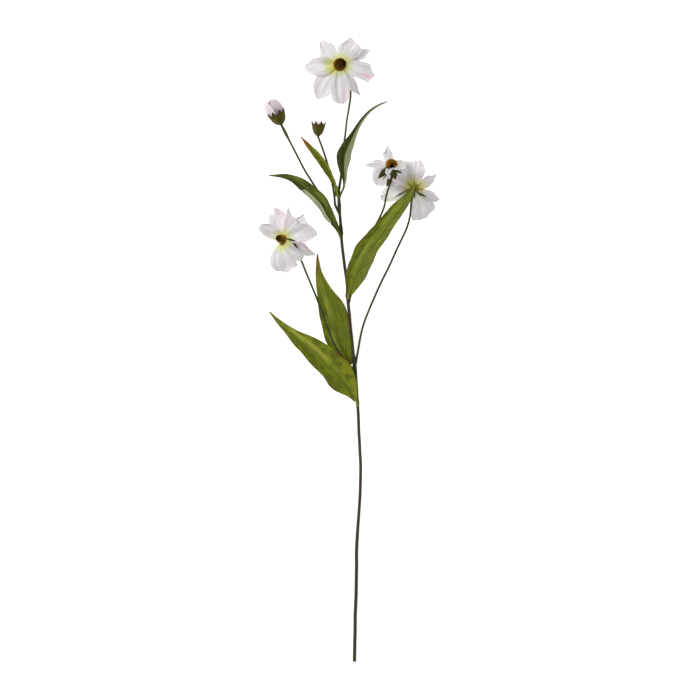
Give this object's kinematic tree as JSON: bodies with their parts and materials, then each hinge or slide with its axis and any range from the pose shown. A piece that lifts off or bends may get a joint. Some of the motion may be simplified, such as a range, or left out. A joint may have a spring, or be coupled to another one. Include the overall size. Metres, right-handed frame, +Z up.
{
  "type": "cosmos flower spray",
  "caption": "Cut spray of white cosmos lying flat: a branching wiry stem with lance-shaped leaves, open flowers with domed brown discs, and closed buds.",
  "frame": {"origin": "centre of the footprint of the lying spray, on the table", "axes": "+Y along the main stem from its cut end to the top flower, +Z up from the table, +X to the right seen from above"},
  "size_m": [0.2308, 0.8022, 0.0522],
  "materials": {
    "stem": "satin",
    "leaf": "satin",
    "petal": "matte",
    "disc": "matte",
    "calyx": "matte",
    "bud_cup": "matte"
  },
  "bodies": {
    "root": {"main_stem": "stem", "left_flower_stem": "stem", "upper_right_flower_stem": "stem", "right_flower_stem": "stem", "large_bud_stem": "stem", "small_bud_stem": "stem", "top_leaf": "leaf", "upper_narrow_leaf": "leaf", "upper_left_leaf": "leaf", "right_broad_leaf": "leaf", "lower_narrow_leaf": "leaf", "lower_left_leaf": "leaf", "top_flower_disc": "disc", "top_flower_calyx": "calyx", "top_flower_petal_1": "petal", "top_flower_petal_2": "petal", "top_flower_petal_3": "petal", "top_flower_petal_4": "petal", "top_flower_petal_5": "petal", "top_flower_petal_6": "petal", "top_flower_petal_7": "petal", "top_flower_petal_8": "petal", "left_flower_disc": "disc", "left_flower_calyx": "calyx", "left_flower_petal_1": "petal", "left_flower_petal_2": "petal", "left_flower_petal_3": "petal", "left_flower_petal_4": "petal", "left_flower_petal_5": "petal", "left_flower_petal_6": "petal", "left_flower_petal_7": "petal", "left_flower_petal_8": "petal", "upper_right_flower_disc": "disc", "upper_right_flower_calyx": "calyx", "upper_right_flower_petal_1": "petal", "upper_right_flower_petal_2": "petal", "upper_right_flower_petal_3": "petal", "upper_right_flower_petal_4": "petal", "upper_right_flower_petal_5": "petal", "upper_right_flower_petal_6": "petal", "upper_right_flower_petal_7": "petal", "upper_right_flower_petal_8": "petal", "right_flower_disc": "disc", "right_flower_calyx": "calyx", "right_flower_petal_1": "petal", "right_flower_petal_2": "petal", "right_flower_petal_3": "petal", "right_flower_petal_4": "petal", "right_flower_petal_5": "petal", "right_flower_petal_6": "petal", "right_flower_petal_7": "petal", "right_flower_petal_8": "petal", "large_bud_calyx": "bud_cup", "large_bud_petal_1": "petal", "large_bud_petal_2": "petal", "large_bud_petal_3": "petal", "large_bud_petal_4": "petal", "small_bud_calyx": "bud_cup", "small_bud_petals": "petal"}
  },
  "joints": []
}
